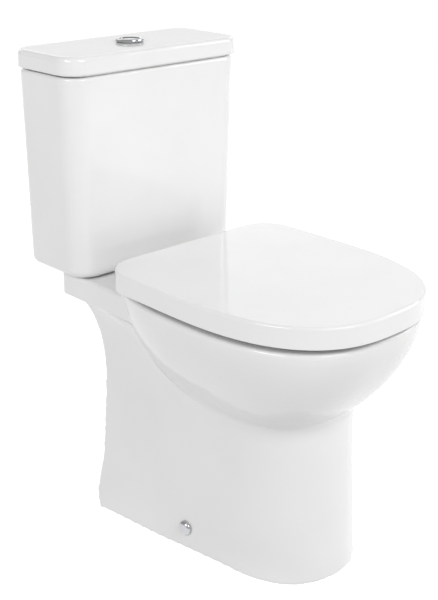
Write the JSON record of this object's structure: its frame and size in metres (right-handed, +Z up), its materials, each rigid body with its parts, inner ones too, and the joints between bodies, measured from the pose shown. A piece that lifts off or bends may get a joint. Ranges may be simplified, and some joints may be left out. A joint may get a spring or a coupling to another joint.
{
  "type": "close coupled toilet",
  "caption": "Close coupled toilet: tapered floor-standing pan, rectangular cistern with dual-flush button, and a D-shaped seat and cover on one hinge axis.",
  "frame": {"origin": "on the floor, at the centre of the whole object's box", "axes": "+Z up, -Y out to the front of the bowl, +Y towards the wall, +X to the right of somebody who faces +Y"},
  "size_m": [0.3576, 0.64, 0.762],
  "materials": {
    "glazed_china": "opaque vitreous china with a glossy white glaze",
    "seat_plastic": "glossy white duroplast",
    "chrome": "polished chrome plate",
    "zinc_steel": "zinc plated",
    "moulded_plastic": "natural white moulding",
    "coloured_plastic": "blue moulding",
    "black_rubber": "matt",
    "clear_rubber": "milky"
  },
  "bodies": {
    "root": {"button_bezel": "chrome", "button_clamp_nut": "moulded_plastic", "button_sleeve": "moulded_plastic", "cistern_lid": "glazed_china", "cistern_tank": "glazed_china", "coupling_bolt_seals": "black_rubber", "coupling_bolts": "zinc_steel", "coupling_gasket": "black_rubber", "coupling_plate": "zinc_steel", "coupling_washers": "zinc_steel", "coupling_wing_nuts": "zinc_steel", "fill_valve_backnut": "moulded_plastic", "fill_valve_body": "moulded_plastic", "fill_valve_head": "moulded_plastic", "fill_valve_seal": "black_rubber", "float_arm_pin": "zinc_steel", "floor_brackets": "moulded_plastic", "floor_screws": "zinc_steel", "flush_valve_backnut": "moulded_plastic", "flush_valve_base_seal": "black_rubber", "flush_valve_body": "moulded_plastic", "flush_valve_cage": "moulded_plastic", "full_button_spring": "zinc_steel", "half_button_spring": "zinc_steel", "hinge_pins": "zinc_steel", "hinge_posts": "chrome", "lift_lever_pin": "zinc_steel", "pan_bowl": "glazed_china", "pan_pedestal": "glazed_china", "refill_tube": "moulded_plastic", "seat_fixing_washers": "black_rubber", "seat_wing_nuts": "moulded_plastic", "side_screw_caps": "chrome", "side_screws": "zinc_steel"},
    "cover": {"seat_cover": "seat_plastic", "cover_buffers": "clear_rubber"},
    "ring": {"seat_ring": "seat_plastic", "ring_buffers": "clear_rubber"},
    "full_button": {"full_flush_button": "chrome", "full_flush_rod": "moulded_plastic"},
    "half_button": {"half_flush_button": "chrome", "half_flush_rod": "moulded_plastic"},
    "core": {"flush_core": "coloured_plastic", "flush_seal": "black_rubber"},
    "lever": {"lift_lever": "coloured_plastic"},
    "float": {"float_cup": "coloured_plastic"},
    "arm": {"float_arm": "coloured_plastic"}
  },
  "joints": [
    {"name": "cover_hinge", "type": "hinge", "parent": "root", "child": "cover", "pos_m": [0, 0.088, 0.43], "axis": [-1, 0, 0], "range_deg": [0, 98]},
    {"name": "ring_hinge", "type": "hinge", "parent": "root", "child": "ring", "pos_m": [0, 0.088, 0.43], "axis": [-1, 0, 0], "range_deg": [0, 93.1]},
    {"name": "full_flush_press", "type": "slide", "parent": "root", "child": "full_button", "axis": [0, 0, -1], "range_m": [0, 0.006], "stiffness_N_per_m": 400, "deforming": ["full_button_spring"]},
    {"name": "half_flush_press", "type": "slide", "parent": "root", "child": "half_button", "axis": [0, 0, -1], "range_m": [0, 0.006], "stiffness_N_per_m": 400, "deforming": ["half_button_spring"]},
    {"name": "lift_lever_hinge", "type": "hinge", "parent": "root", "child": "lever", "pos_m": [0.012, 0.26278, 0.596], "axis": [0.866, -0.5, 0], "range_deg": [0, 28.65]},
    {"name": "flush_core_lift", "type": "slide", "parent": "root", "child": "core", "axis": [0, 0, 1], "range_m": [0, 0.0096]},
    {"name": "float_slide", "type": "slide", "parent": "root", "child": "float", "axis": [0, 0, -1], "range_m": [0, 0.02]},
    {"name": "float_arm_hinge", "type": "hinge", "parent": "root", "child": "arm", "pos_m": [0.126, 0.248, 0.66], "axis": [1, 0, 0], "range_deg": [0, 32.2]}
  ],
  "couplings": [
    {"joint": "ring_hinge", "follows": "cover_hinge", "ratio": 0.95},
    {"joint": "lift_lever_hinge", "follows": "full_flush_press", "rad_per_m": 83.333},
    {"joint": "flush_core_lift", "follows": "full_flush_press", "ratio": 1.6},
    {"joint": "float_arm_hinge", "follows": "float_slide", "rad_per_m": 28.1}
  ]
}
